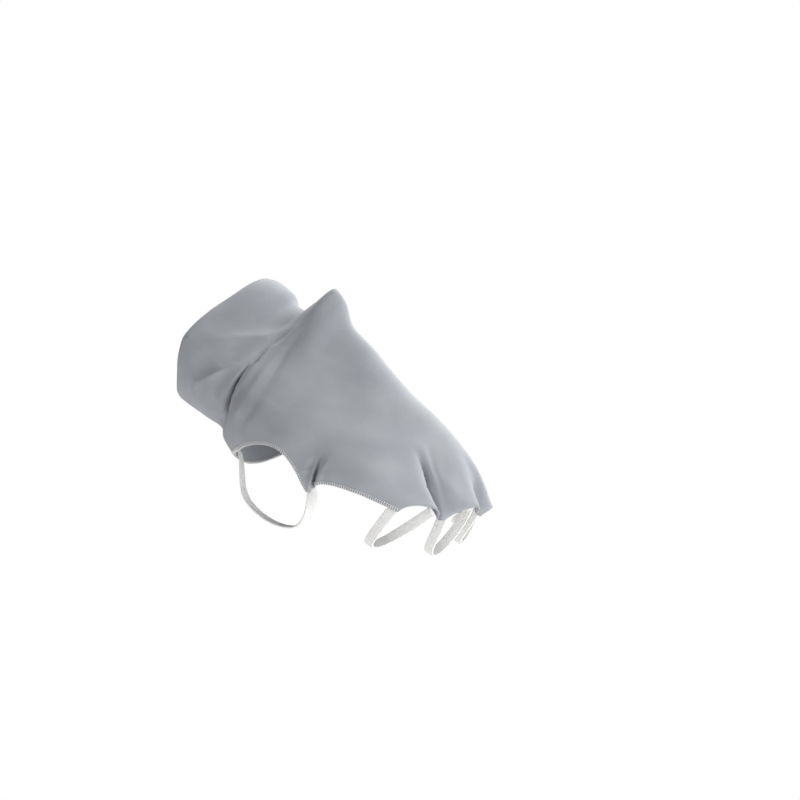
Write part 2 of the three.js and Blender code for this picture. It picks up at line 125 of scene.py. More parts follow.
# Folds of the drawn cloth: lines through x and turn, each with a height, a half width and how sharp
# its top is, from 0 for a round fold to 1 for a crease.
foldColumns = ["x", "turn", "height", "halfWidth", "sharp"]
clothFolds = {
    "pull across the cuff": [
        (2.5, 0.215, 1, 2.5, 0.8),
        (9, 0.275, 1.9, 2.2, 0.8),
        (14, 0.335, 1.1, 2, 0.8),
        (16.5, 0.42, 0.8, 2, 0.8),
        (17, 0.475, 0, 2, 0.8),
    ],
    "shade above the pull": [
        (2, 0.31, -0.3, 3, 0),
        (7, 0.36, -0.6, 3, 0),
        (12, 0.42, 0, 3, 0),
    ],
    "brow of the shade": [
        (-3, 0.315, 0, 2.5, 0.2),
        (5, 0.385, 1, 2.5, 0.2),
        (12, 0.435, 1, 3, 0.2),
        (15, 0.465, 0.4, 2.5, 0.2),
    ],
    "hollow beside the pull": [
        (20, 0.48, -0.2, 1.6, 0.2),
        (17, 0.43, -0.9, 1.6, 0.2),
        (16.5, 0.395, -1.1, 1.8, 0.2),
        (17, 0.35, -0.3, 1.6, 0.2),
    ],
    "deep crease over the thumb root": [
        (17.3, 0.355, -0.3, 0.5, 0.2),
        (17.9, 0.305, -2.8, 0.65, 0.2),
        (18.3, 0.27, -3.2, 0.65, 0.2),
        (18.2, 0.235, -3.2, 0.65, 0.2),
        (17.6, 0.2, -2.8, 0.65, 0.2),
        (15.5, 0.145, -0.4, 0.9, 0.2),
    ],
    "wide hollow of the crease": [
        (18.8, 0.36, 0, 3, 0),
        (20, 0.265, -1.6, 3, 0),
        (19.6, 0.217, -2.8, 3.4, 0),
        (17.4, 0.18, -4.2, 4.2, 0),
        (13, 0.13, -4.6, 5, 0),
        (7, 0.02, 0, 6, 0),
    ],
    "short crease": [
        (16.6, 0.43, 0, 1, 0.2),
        (18.5, 0.375, -1.6, 1, 0.2),
        (20, 0.305, -0.3, 1, 0.2),
    ],
    "lip of the crease": [
        (17, 0.423, 0.2, 0.9, 0.4),
        (19, 0.36, 0.9, 0.8, 0.4),
        (21.3, 0.28, 0.8, 0.9, 0.4),
        (20.5, 0.235, 0, 1, 0.4),
    ],
    "hollow below the lip": [
        (19, 0.43, 0, 1.5, 0.2),
        (23.2, 0.34, -0.7, 1.6, 0.2),
        (24.4, 0.25, 0, 1.5, 0.2),
    ],
    "second pull": [
        (19.5, 0.472, 0.6, 1.5, 0.4),
        (24, 0.39, 0.3, 1.4, 0.4),
        (27.5, 0.3, 0.5, 1.5, 0.4),
        (27.8, 0.25, 1, 2, 0.4),
        (28.5, 0.22, 0, 1.6, 0.4),
    ],
    "hollow below the second pull": [
        (21.7, 0.485, -0.4, 2, 0.3),
        (25, 0.44, -0.4, 1.5, 0.3),
        (31, 0.35, -0.4, 1.5, 0.3),
        (33.3, 0.28, -0.7, 1.6, 0.3),
        (32.5, 0.21, 0, 1.5, 0.3),
    ],
    "swell of the drawn-up side": [
        (26, 0.48, 0.2, 5, 0),
        (31, 0.455, 1.5, 11, 0),
        (36, 0.39, 1, 6, 0),
        (37.5, 0.34, 0.2, 6, 0),
    ],
    "edge of the cuff's flat side": [
        (-11, 0.29, 2.2, 4, 0.8),
        (-4, 0.286, 1.8, 4.4, 0.8),
        (9.5, 0.297, 0.4, 3.2, 0.8),
    ],
    "upright fold of the cuff": [
        (-9, 0.28, 0, 1.5, 0.3),
        (2, 0.21, 1.2, 1.8, 0.3),
        (3.5, 0.165, 0.4, 1.8, 0.3),
    ],
    "faint fold of the cuff": [
        (12.5, 0.285, 0, 2.5, 0.1),
        (12, 0.2, -1.4, 2.5, 0.1),
        (13.4, 0.16, 0.4, 2.5, 0.1),
    ],
    "gather by the thumb hole": [
        (67.4, 0.318, 0, 1.2, 0.2),
        (69.2, 0.287, -1.4, 0.8, 0.2),
        (70.7, 0.254, -3.4, 0.7, 0.2),
        (71.9, 0.216, -3.8, 0.7, 0.2),
    ],
    "wide hollow of the gather": [
        (73, 0.235, -0.6, 3, 0),
        (71, 0.275, -1.4, 3.5, 0),
        (64, 0.315, -1.6, 9, 0),
    ],
    "rise before the gather": [
        (66.5, 0.322, 0, 1.4, 0.3),
        (69.3, 0.287, 1.2, 0.9, 0.3),
        (70.6, 0.25, 2.2, 0.9, 0.3),
        (71, 0.214, 1.4, 1, 0.3),
    ],
    "small hollow before the rise": [
        (66.4, 0.3, 0, 1.3, 0),
        (67, 0.27, -0.5, 1.5, 0),
        (67.6, 0.235, -0.5, 1.5, 0),
    ],
    "rise after the gather": [
        (71.2, 0.34, 0, 1.5, 0.3),
        (71.5, 0.3, 0.7, 1.3, 0.3),
        (73, 0.245, 1.1, 1.5, 0.3),
        (74, 0.232, 0.9, 1.5, 0.3),
    ],
    "hollow between index and middle finger": [
        (90, 0.466, 0, 3.2, 0),
        (99.6, 0.449, -1.4, 3.2, 0),
        (106, 0.442, -3.2, 3.8, 0),
        (118, 0.443, -7.2, 5.2, 0),
    ],
    "crease in that hollow": [
        (92.4, 0.462, 0, 1.2, 0.2),
        (101, 0.4475, -2.2, 0.9, 0.2),
        (106, 0.435, -3.6, 1.1, 0.2),
        (112, 0.4335, -3.4, 1.3, 0.2),
        (118, 0.434, -1.8, 1.3, 0.2),
    ],
    "thin ridge beside the crease": [
        (90.5, 0.476, 0, 2, 0.2),
        (101, 0.459, 0.6, 1.2, 0.3),
        (108, 0.45, 1.9, 1.4, 0.3),
        (116, 0.4445, 1.1, 2.4, 0.2),
    ],
    "hollow beside the thin ridge": [
        (91, 0.486, 0, 2.2, 0),
        (101, 0.462, -0.8, 1.7, 0),
        (107.5, 0.4525, -1.1, 1.4, 0),
        (117, 0.448, 0, 1.4, 0),
    ],
    "rise over the middle finger": [
        (95, 0.485, -1.2, 10, 0),
        (105.5, 0.469, -0.5, 3.2, 0),
        (117.5, 0.457, 1.2, 2.6, 0),
    ],
    "hollow between middle and ring finger": [
        (100, 0.516, 0, 3.2, 0),
        (112, 0.517, -2.4, 3.4, 0),
        (124, 0.522, -5.8, 4.4, 0),
    ],
    "crease before the ring finger": [
        (105.5, 0.513, 0.2, 1.8, 0.2),
        (112, 0.516, 0.8, 2, 0.2),
        (116, 0.515, -1, 1.1, 0.2),
        (124, 0.518, -0.9, 1.2, 0.2),
    ],
    "hollow between ring and little finger": [
        (98, 0.6, 0, 3.4, 0),
        (108, 0.602, -2.4, 3.6, 0),
        (118.5, 0.605, -4, 4, 0),
    ],
}


def foldRise(rows, points, turn):
    # height of one fold at points of the form, measured from the nearest stretch of its line
    fold = columnTable(foldColumns, rows)
    places = formPoint(fold["x"], fold["turn"])
    nearest = np.full(points.shape[:-1], np.inf)
    rise = np.zeros(points.shape[:-1])
    for i in range(len(rows) - 1):
        step = places[i + 1] - places[i]
        along = np.clip((points - places[i]) @ step / (step @ step), 0, 1)
        distance = np.linalg.norm(points - places[i] - along[..., None] * step, axis=-1)
        at = {name: fold[name][i] + along * (fold[name][i + 1] - fold[name][i]) for name in foldColumns}
        closer = (np.abs(at["turn"] - turn) < clothForm["foldReach"]) & (distance < nearest)
        profile = at["height"] * np.exp(-((distance / at["halfWidth"]) ** (2 - at["sharp"])))
        rise = np.where(closer, profile, rise)
        nearest = np.where(closer, distance, nearest)
    return rise


def foldHeight(points, turn):
    height = sum(foldRise(rows, points, turn) for rows in clothFolds.values())
    for *lengths, rise in clothForm["waves"]:
        height += rise * np.sin(2 * math.pi * points @ (1 / np.array(lengths)))
    return height


def normalOf(surface, x, turn):
    # outward normal of a surface in x and turn
    step = clothForm["slopeStep"]
    alongX = surface(x + step, turn) - surface(x - step, turn)
    alongTurn = surface(x, turn + step) - surface(x, turn - step)
    cross = np.cross(alongX, alongTurn)
    return cross / np.linalg.norm(cross, axis=-1, keepdims=True)


def clothPoint(x, turn, depth=0):
    # the cloth's outer face, or a place under it
    points = formPoint(x, turn)
    points = points + normalOf(formPoint, x, turn) * foldHeight(points, turn)[..., None]
    if depth:
        points = points - normalOf(clothPoint, x, turn) * depth
    return points


# The cut edge of the cloth. Each row is a line of the cloth from the cuff's rim to the edge, which
# bends once at the waist, and a corner breaks the curve of the edge.
clothOutline = {
    "lines": columnTable(
        ["rimX", "rimTurn", "waistX", "waistTurn", "endX", "endTurn", "corner"],
        [
            (-11, 0.0, 8, 0.0, 28, 0.0, 0),
            (-11, 0.04, 8, 0.035, 28, 0.03, 0),
            (-11, 0.07, 8, 0.065, 27.5, 0.06, 0),
            (-10.5, 0.1, 8, 0.095, 27, 0.085, 0),
            (-10, 0.125, 9, 0.12, 28, 0.112, 0),
            (-9.5, 0.15, 11.5, 0.147, 32, 0.15, 0),
            (-9.5, 0.175, 15, 0.184, 37, 0.192, 0),
            (-10, 0.2, 19.5, 0.217, 43, 0.224, 0),
            (-11, 0.223, 25.5, 0.245, 50, 0.2435, 0),
            (-11.8, 0.242, 32.5, 0.262, 56.5, 0.243, 0),
            (-12.3, 0.258, 39, 0.272, 62.9, 0.2244, 0),
            (-12.7, 0.272, 44, 0.28, 67.2, 0.197, 0),
            (-13, 0.284, 47, 0.287, 69.4, 0.18, 1),
            (-13.2, 0.296, 49, 0.293, 71.2, 0.184, 1),
            (-13.3, 0.309, 50, 0.3, 72.3, 0.215, 0),
            (-13.4, 0.322, 51, 0.307, 75, 0.237, 0),
            (-13.4, 0.337, 53, 0.316, 80.6, 0.2556, 0),
            (-13.4, 0.353, 54, 0.328, 88.6, 0.2722, 0),
            (-13.4, 0.37, 54, 0.342, 95.5, 0.284, 0),
            (-13.4, 0.387, 54, 0.357, 101.5, 0.297, 0),
            (-13.3, 0.404, 53, 0.372, 105.3, 0.3067, 1),
            (-13.2, 0.42, 52, 0.39, 106, 0.335, 0),
            (-13, 0.436, 51, 0.409, 108, 0.365, 0),
            (-12.8, 0.452, 51, 0.429, 111.5, 0.395, 0),
            (-12.6, 0.468, 51, 0.449, 118, 0.443, 1),
            (-12.4, 0.484, 51, 0.469, 118.5, 0.462, 0),
            (-12.2, 0.5, 51, 0.489, 119.4, 0.482, 0),
            (-12, 0.517, 51, 0.509, 121, 0.504, 0),
            (-12, 0.534, 51, 0.53, 124, 0.526, 1),
            (-12, 0.552, 51, 0.552, 121.3, 0.549, 0),
            (-12, 0.57, 51, 0.574, 119.5, 0.578, 0),
            (-12, 0.588, 50, 0.595, 118.5, 0.605, 1),
            (-12, 0.606, 49, 0.616, 113, 0.632, 0),
            (-12, 0.625, 48, 0.638, 108, 0.662, 0),
            (-12, 0.644, 46, 0.661, 104, 0.698, 1),
            (-12, 0.664, 44, 0.683, 95, 0.715, 0),
            (-12, 0.686, 41, 0.704, 82, 0.728, 0),
            (-12, 0.71, 36, 0.726, 68, 0.742, 0),
            (-12, 0.737, 30, 0.75, 55, 0.762, 0),
            (-12, 0.766, 24, 0.777, 45, 0.788, 0),
            (-12, 0.798, 19, 0.808, 37.5, 0.82, 0),
            (-12, 0.833, 14, 0.842, 32, 0.857, 0),
            (-12, 0.87, 11, 0.88, 29.5, 0.895, 0),
            (-12, 0.91, 9, 0.918, 28.5, 0.933, 0),
            (-11.5, 0.955, 8, 0.96, 28, 0.967, 0),
        ],
    ),
    # rows are even up to evenRows; beyond it they are squeezed towards the cut edge, less evenShare
    "firstRow": -12,
    "evenRows": 13,
    "lastRow": 124,
    "evenShare": 0.2,
    # end and steps of each span: rows and columns are closest over the folds by the thumb
    "rowSpans": [(5, 18), (13.5, 22), (20.5, 32), (30, 20), (60, 20), (124, 40)],
    "columnSpans": [(9, 36), (19, 110), (34, 105), (45, 40)],
    "wall": 0.7,
    # length of knit round the hand
    "patternRound": 230,
    # the hem between two lines: its width, its height, and how steep its inner side is
    "hemLines": (20, 34),
    "hem": 4.5,
    "hemRise": 0.15,
    "hemSteepness": 3,
    # samples of the edge from line to line, and how many rows inside it the cloth is looked for
    "edgeSamples": 60,
    "rowsInside": 4,
    # the folds whose insides are darkened with painted shade in the material
    "foldsWithPaintedShade": [
        "deep crease over the thumb root",
        "short crease",
        "gather by the thumb hole",
        "crease in that hollow",
    ],
}
lineCount = len(clothOutline["lines"]["corner"])


def outlineAt(name, position):
    # a smooth curve through one column of the lines, broken at the corners
    values, corner = clothOutline["lines"][name], clothOutline["lines"]["corner"]
    i = np.floor(position).astype(int)
    t = position - i
    wraps = 1 if name.endswith("Turn") else 0

    def valueAt(index):
        return values[index % lineCount] + wraps * (index // lineCount)

    start, stop = valueAt(i), valueAt(i + 1)
    before = np.where(corner[i % lineCount] == 1, 2 * start - stop, valueAt(i - 1))
    after = np.where(corner[(i + 1) % lineCount] == 1, 2 * stop - start, valueAt(i + 2))
    curve = 2 * before - 5 * start + 4 * stop - after + t * (3 * (start - stop) + after - before)
    return start + 0.5 * t * (stop - before + t * curve)


def clothChart(position, row):
    # where a line of the cloth meets a row; short lines squeeze their last rows
    rimX, waistX, endX = [outlineAt(name, position) for name in ("rimX", "waistX", "endX")]
    rim, waist, end = [outlineAt(name, position) for name in ("rimTurn", "waistTurn", "endTurn")]
    first, even, last = [clothOutline[name] for name in ("firstRow", "evenRows", "lastRow")]
    before = np.clip((row - first) / (even - first), 0, 1)
    after = np.clip((row - even) / (last - even), 0, 1)
    squeezed = 1 - (1 - after) ** ((last - even) / (endX - even))
    squeezed += (after - squeezed) * clothOutline["evenShare"]
    x = rimX + (even - rimX) * before + (endX - even) * squeezed
    # the line is a parabola in x and turn, halfway at the waist
    pullX, pullTurn = 2 * waistX - (rimX + endX) / 2, 2 * waist - (rim + end) / 2
    bend, slope = rimX - 2 * pullX + endX, pullX - rimX
    share = (x - rimX) / (slope + np.sqrt(np.maximum(slope**2 + bend * (x - rimX), 0)))
    turn = (1 - share) ** 2 * rim + 2 * share * (1 - share) * pullTurn + share**2 * end
    return x, turn


def spanPlaces(first, spans):
    # places from the first one on, with so many even steps up to the end of each span
    places = [first]
    for last, steps in spans:
        places += list(np.linspace(places[-1], last, steps + 1)[1:])
    return np.array(places)


def distancesAlong(points):
    steps = np.linalg.norm(np.diff(points, axis=0), axis=1)
    return np.concatenate([[0], np.cumsum(steps)])


def unitRows(vectors):
    return vectors / np.linalg.norm(vectors, axis=1, keepdims=True)


def makePiece(sheet, name, material):
    # a bmesh becomes the smooth object of a piece, at the origin
    for face in sheet.faces:
        face.smooth = True
    mesh = bpy.data.meshes.new(name)
    sheet.to_mesh(mesh)
    sheet.free()
    piece = bpy.data.objects.new(name, mesh)
    bpy.context.scene.collection.objects.link(piece)
    piece.data.materials.append(material)
    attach(piece, "root")
    return piece


def edgeLine(first, last, spacing):
    # points, directions along and into the cloth, and normals of the cut edge, evenly spaced
    positions = np.linspace(first, last, int(abs(last - first) * clothOutline["edgeSamples"]))
    x, turn = clothChart(positions, clothOutline["lastRow"])
    travelled = distancesAlong(clothPoint(x, turn))
    even = np.arange(spacing / 2, travelled[-1], spacing)
    x, turn = np.interp(even, travelled, x), np.interp(even, travelled, turn)
    points = clothPoint(x, turn)
    along = unitRows(np.gradient(points, axis=0))
    normals = normalOf(clothPoint, x, turn)
    inward = np.cross(normals, along)
    rowInside = clothOutline["lastRow"] - clothOutline["rowsInside"]
    inside = clothPoint(*clothChart(np.interp(even, travelled, positions), rowInside))
    inward *= np.sign(np.sum(inward * (inside - points), axis=1, keepdims=True))
    return points, along, inward, normals


def hemRise(points, row, position):
    # the finger ends are turned under as a narrow hem
    first, last = clothOutline["hemLines"]
    hemmed = np.isclose(row, clothOutline["lastRow"]) & (position >= first) & (position <= last)
    edge = kdtree.KDTree(int(hemmed.sum()))
    for i in np.flatnonzero(hemmed):
        edge.insert(points[i], int(i))
    edge.balance()
    fromEdge = np.array([edge.find(point)[2] for point in points])
    level = clothOutline["hemSteepness"] * (1 - fromEdge / clothOutline["hem"])
    return clothOutline["hemRise"] * np.clip(level, 0, 1)


def makeGloveCloth(material):
    rows = spanPlaces(clothOutline["firstRow"], clothOutline["rowSpans"])
    columns = spanPlaces(0, clothOutline["columnSpans"])
    sheet = bmesh.new()
    bmesh.ops.create_grid(sheet, x_segments=len(columns) - 1, y_segments=len(rows) - 1, size=1)
    places = np.array([vertex.co[:2] for vertex in sheet.verts]) / 2 + 0.5
    position = np.interp(places[:, 0] * (len(columns) - 1), range(len(columns)), columns)
    row = np.interp(places[:, 1] * (len(rows) - 1), range(len(rows)), rows)
    x, turn = clothChart(position, row)
    points = clothPoint(x, turn)
    points = points + normalOf(clothPoint, x, turn) * hemRise(points, row, position)[:, None]

    # the material reads how far the rim is, how deep the tight folds are (for the shade painted inside
    # them), and the run of the knit
    fromRim = x - outlineAt("rimX", position)
    folded = [foldRise(clothFolds[name], formPoint(x, turn), turn) for name in clothOutline["foldsWithPaintedShade"]]
    depth = -sum(folded)
    knitAlong = (x - clothForm["sections"]["x"][0]) / clothOutline["patternRound"]
    rimLayer = sheet.verts.layers.float.new("fromRim")
    foldLayer = sheet.verts.layers.float.new("foldDepth")
    weave = sheet.loops.layers.uv.new("weave")
    for i, vertex in enumerate(sheet.verts):
        vertex.co = points[i] * mm
        vertex[rimLayer] = fromRim[i]
        vertex[foldLayer] = depth[i]
    for face in sheet.faces:
        for loop in face.loops:
            i = loop.vert.index
            loop[weave].uv = (turn[i], knitAlong[i])
    bmesh.ops.remove_doubles(sheet, verts=sheet.verts, dist=weldDistance)
    bmesh.ops.reverse_faces(sheet, faces=sheet.faces)
    cloth = makePiece(sheet, "glove_cloth", material)
    wall = cloth.modifiers.new("wall", "SOLIDIFY")
    wall.thickness = clothOutline["wall"] * mm
    wall.offset = -1
    return cloth


def newMaterial(name, look):
    material = bpy.data.materials.new(name)
    material.use_nodes = True
    shader = material.node_tree.nodes["Principled BSDF"]
    shader.inputs["Base Color"].default_value = look["colour"]
    for socket, value in look["finish"].items():
        shader.inputs[socket].default_value = value
    return material, material.node_tree, shader


def feed(tree, socket, value):
    # a socket takes the output of another node, or a plain value
    if isinstance(value, bpy.types.NodeSocket):
        tree.links.new(value, socket)
    else:
        socket.default_value = value


def addNode(tree, kind, settings=(), inputs=()):
    node = tree.nodes.new(kind)
    for name, value in dict(settings).items():
        setattr(node, name, value)
    for name, value in dict(inputs).items():
        feed(tree, node.inputs[name], value)
    return node


def combine(tree, operation, *values):
    node = addNode(tree, "ShaderNodeMath", {"operation": operation})
    for socket, value in zip(node.inputs, values):
        feed(tree, socket, value)
    return node.outputs["Value"]


def mixColours(tree, factor, first, second):
    # in a colour mix, sockets 0, 6 and 7 are the factor and the colours, and output 2 is the result
    mix = addNode(tree, "ShaderNodeMix", {"data_type": "RGBA"})
    for i, value in ((0, factor), (6, first), (7, second)):
        feed(tree, mix.inputs[i], value)
    return mix.outputs[2]


def rangeOver(tree, value, low, high, atLow=0, atHigh=1):
    # a value between low and high turned into one between atLow and atHigh
    ends = {"From Min": low, "From Max": high, "To Min": atLow, "To Max": atHigh}
    return addNode(tree, "ShaderNodeMapRange", inputs={"Value": value, **ends}).outputs["Result"]


def noiseOver(tree, place, values):
    return addNode(tree, "ShaderNodeTexNoise", inputs={"Vector": place, **values}).outputs["Fac"]


def attributeOf(tree, name):
    return addNode(tree, "ShaderNodeAttribute", {"attribute_name": name}).outputs["Fac"]


def objectPlace(tree):
    return addNode(tree, "ShaderNodeTexCoord").outputs["Object"]


def addBump(tree, shader, height, values):
    bump = addNode(tree, "ShaderNodeBump", inputs={"Height": height, **values})
    tree.links.new(bump.outputs["Normal"], shader.inputs["Normal"])


def ridgesAcross(tree, place, direction, period):
    # a wave texture of scale 1 repeats every tenth of pi
    inputs = {"Vector": place, "Scale": math.pi / 10 / period}
    return addNode(tree, "ShaderNodeTexWave", {"bands_direction": direction}, inputs).outputs["Fac"]


# Plain grey stretch knit, its pattern in millimetres.
knit = {
    "colour": (0.338, 0.352, 0.378, 1),
    "lightColour": (0.385, 0.398, 0.42, 1),
    "darkColour": (0.285, 0.298, 0.325, 1),
    "cutColour": (0.62, 0.62, 0.56, 1),
    # painted shade inside the tight folds, darkest where they are deepest
    "paintedFoldShadeColour": (0.06, 0.066, 0.085, 1),
    "finish": {
        "Roughness": 0.85,
        "Sheen Weight": 0.15,
        "Sheen Roughness": 0.5,
        "Specular IOR Level": 0.25,
    },
    "wale": 0.42,
    "course": 0.5,
    # between the loops, in a full fold and at the cut, this much of the other colour; the darker colour
    # in the folds is painted shade
    "betweenShade": 0.3,
    "paintedFoldShade": 0.8,
    "foldDepths": (0.4, 2.2),
    "cutShade": 0.8,
    "cutWidth": 0.35,
    "yarn": {"Scale": 1.4, "Detail": 3, "Roughness": 0.7},
    "yarnShare": 0.4,
    "patches": {"Scale": 45, "Detail": 4, "Roughness": 0.55},
    "shadeRange": (0.42, 0.98),
    "fuzz": {"Scale": 3, "Detail": 2},
    "fuzzShare": 0.5,
    "bump": {"Strength": 0.35, "Distance": 0.06 * mm},
}


def knitMaterial():
    material, tree, shader = newMaterial("stretchKnit", knit)
    weave = addNode(tree, "ShaderNodeUVMap", {"uv_map": "weave"}).outputs["UV"]
    scale = (clothOutline["patternRound"],) * 3
    inMillimetres = addNode(tree, "ShaderNodeMapping", inputs={"Vector": weave, "Scale": scale})
    place = inMillimetres.outputs["Vector"]
    wales = ridgesAcross(tree, place, "X", knit["wale"])
    courses = ridgesAcross(tree, place, "Y", knit["course"])
    loops = combine(tree, "MULTIPLY", wales, courses)

    # yarn by yarn, and slowly over the cloth, the dye is a little uneven
    yarn = noiseOver(tree, place, knit["yarn"])
    patches = noiseOver(tree, objectPlace(tree), knit["patches"])
    uneven = combine(tree, "MULTIPLY_ADD", yarn, knit["yarnShare"], patches)
    shade = rangeOver(tree, uneven, *knit["shadeRange"])
    dyed = mixColours(tree, shade, knit["darkColour"], knit["lightColour"])
    between = rangeOver(tree, loops, 0, 1, knit["betweenShade"], 0)
    cloth = mixColours(tree, between, dyed, knit["darkColour"])

    # painted shade: the colour darkens inside the tight folds, where little light reaches
    folded = rangeOver(tree, attributeOf(tree, "foldDepth"), *knit["foldDepths"], 0, knit["paintedFoldShade"])
    cloth = mixColours(tree, folded, cloth, knit["paintedFoldShadeColour"])

    # raw cut at the cuff's rim
    cut = rangeOver(tree, attributeOf(tree, "fromRim"), 0, knit["cutWidth"], knit["cutShade"], 0)
    feed(tree, shader.inputs["Base Color"], mixColours(tree, cut, cloth, knit["cutColour"]))

    fuzz = noiseOver(tree, place, knit["fuzz"])
    height = combine(tree, "MULTIPLY_ADD", fuzz, knit["fuzzShare"], loops)
    addBump(tree, shader, height, knit["bump"])
    return material


gloveCloth = makeGloveCloth(knitMaterial())
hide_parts("glove_body")
print("cloth:", len(gloveCloth.data.polygons), "faces")


def throughPoints(points, fineness=16):
    # a centripetal curve through points, as a dense line
    points = [np.array(point, float) for point in points]
    ends = [2 * points[0] - points[1], *points, 2 * points[-1] - points[-2]]
    line = []
    for p0, p1, p2, p3 in zip(ends, ends[1:], ends[2:], ends[3:]):
        a, b, c = [math.sqrt(np.linalg.norm(step)) for step in (p1 - p0, p2 - p1, p3 - p2)]
        leave = ((p1 - p0) / a - (p2 - p0) / (a + b) + (p2 - p1) / b) * b
        arrive = ((p2 - p1) / b - (p3 - p1) / (b + c) + (p3 - p2) / c) * b
        bend = 3 * (p2 - p1) - 2 * leave - arrive
        swing = 2 * (p1 - p2) + leave + arrive
        for t in np.arange(fineness) / fineness:
            line.append(p1 + t * leave + t * t * (bend + t * swing))
    return np.array([*line, points[-1]])


def evenAlong(line, spacing):
    # the line again with even steps, and how far along each step is
    travelled = distancesAlong(line)
    count = max(int(round(travelled[-1] / spacing)), 2)
    even = np.linspace(0, travelled[-1], count + 1)
    return np.stack([np.interp(even, travelled, line[:, i]) for i in range(3)], axis=1), even


# Bands of elastic in millimetres, tucked under the cloth at both ends.
elastic = {
    "width": 4.2,
    "thickness": 0.85,
    "squareness": 0.3,
    "around": 28,
    # depth of the tucked ends under the outer face, and the turn from one of their points to the next
    "depth": 2.35,
    "tuck": 0.012,
    # share of the band's length in which it turns flat against the cloth
    "lieShare": 0.3,
    "rib": 0.62,
    "ribHeight": 0.07,
    "stepsPerRib": 4,
    "cords": 7,
    "cordHeight": 0.03,
    # start x and turn, end x and turn, x and z of the lowest point
    "fingers": {
        "index_loop": (103.2, 0.3095, 113, 0.426, 99, -22.5),
        "middle_loop": (115.5, 0.453, 118.5, 0.509, 114, -20),
        "ring_loop": (116.8, 0.544, 113.2, 0.598, 113.5, -17.5),
        "little_loop": (112.5, 0.617, 101, 0.692, 105, -15.5),
    },
    # places on the way down each side: share of the half width, and of the drop
    "fingerShape": [(0.98, 0.45), (0.72, 0.88)],
    "thumbTip": [(69.4, 0.212), (70, 0.193), (70.8, 0.176)],
    "thumbBehind": [(73, -34, -22), (68, -28, -33), (54, -24, -39), (40, -23, -37)],
    "thumbCuff": [(27, 0.09), (22, 0.09)],
    "colour": (0.765, 0.76, 0.745, 1),
    "darkColour": (0.735, 0.728, 0.713, 1),
    "lightColour": (0.79, 0.785, 0.772, 1),
    "finish": {"Roughness": 0.75, "Sheen Weight": 0.1},
    "yarn": {"Scale": 2200, "Detail": 2},
    "shadeRange": (0.35, 0.65),
    "bump": {"Strength": 0.3, "Distance": 0.05 * mm},
}


def under(places):
    # points of a tucked end, inside the cloth
    x, turn = np.array(places, float).T
    return list(clothPoint(x, turn, elastic["depth"]))


def clothLie(place, xHalf, turnHalf):
    # which way a band lies across at a place of the cloth
    x, turn = place
    ends = clothPoint(np.array([x - xHalf, x + xHalf]), np.array([turn - turnHalf, turn + turnHalf]))
    return (ends[1] - ends[0]) / np.linalg.norm(ends[1] - ends[0])


def nearEnd(share):
    # 0 along the band, rising smoothly to 1 at its far end
    t = np.clip((share - 1 + elastic["lieShare"]) / elastic["lieShare"], 0, 1)[:, None]
    return t * t * (3 - 2 * t)


def squared(amount):
    # a round section drawn towards a rectangle
    return np.sign(amount) * np.abs(amount) ** elastic["squareness"]


def makeElastic(name, points, lies, material):
    # lies are the directions across the band at its start, in its middle and at its end
    line, even = evenAlong(throughPoints(points), elastic["rib"] / elastic["stepsPerRib"])
    share = even / even[-1]
    along = unitRows(np.gradient(line, axis=0))
    startLie, middleLie, endLie = lies
    across = middleLie + (startLie - middleLie) * nearEnd(1 - share)
    across = across + (endLie - across) * nearEnd(share)
    across -= along * np.sum(across * along, axis=1, keepdims=True)
    across = unitRows(across)
    normals = np.cross(along, across)

    # a flat section with rounded sides, ribbed across and corded along
    band = bmesh.new()
    bmesh.ops.create_grid(band, x_segments=len(line) - 1, y_segments=elastic["around"], size=1)
    places = np.array([vertex.co[:2] for vertex in band.verts]) / 2 + 0.5
    step = np.rint(places[:, 0] * (len(line) - 1)).astype(int)
    angle = places[:, 1] * 2 * math.pi
    side, top = squared(np.cos(angle)), squared(np.sin(angle))
    rib = np.cos(2 * math.pi * even[step] / elastic["rib"]) * elastic["ribHeight"]
    cord = np.cos(math.pi * side * elastic["cords"]) * elastic["cordHeight"]
    halfThick = elastic["thickness"] / 2 + rib + cord
    sideways = across[step] * (side * elastic["width"] / 2)[:, None]
    spots = line[step] + sideways + normals[step] * (top * halfThick)[:, None]
    for i, vertex in enumerate(band.verts):
        vertex.co = spots[i] * mm
    bmesh.ops.remove_doubles(band, verts=band.verts, dist=weldDistance)
    bmesh.ops.holes_fill(band, edges=[edge for edge in band.edges if edge.is_boundary], sides=0)
    bmesh.ops.recalc_face_normals(band, faces=band.faces)
    piece = makePiece(band, name.replace("_loop", "_elastic"), material)
    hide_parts(name)
    return piece


def elasticMaterial():
    material, tree, shader = newMaterial("ribbedElastic", elastic)
    yarn = noiseOver(tree, objectPlace(tree), elastic["yarn"])
    shade = rangeOver(tree, yarn, *elastic["shadeRange"])
    colour = mixColours(tree, shade, elastic["darkColour"], elastic["lightColour"])
    feed(tree, shader.inputs["Base Color"], colour)
    addBump(tree, shader, yarn, elastic["bump"])
    return material


def fingerBand(startX, startTurn, endX, endTurn, lowX, lowZ):
    # the points of a band that hangs from the cloth at both sides of a finger
    start, end = clothPoint(np.array([startX, endX]), np.array([startTurn, endTurn]))
    tucks = np.arange(3) * elastic["tuck"]
    starts = [(startX, startTurn + tuck) for tuck in tucks[::-1]]
    ends = [(endX, endTurn - tuck) for tuck in tucks]
    midY = (start[1] + end[1]) / 2
    low = np.array([lowX, midY, lowZ])

    def wayDown(top):
        places = []
        for half, drop in elastic["fingerShape"]:
            y = midY + (top[1] - midY) * half
            places.append((top[0] + (lowX - top[0]) * drop, y, top[2] + (lowZ - top[2]) * drop))
        return places

    points = [*under(starts), *wayDown(start), low, *wayDown(end)[::-1], *under(ends)]
    halfWidth = elastic["width"] / 2
    lies = (clothLie(starts[0], halfWidth, 0), np.array([1.0, 0, 0]), clothLie(ends[0], halfWidth, 0))
    return points, lies


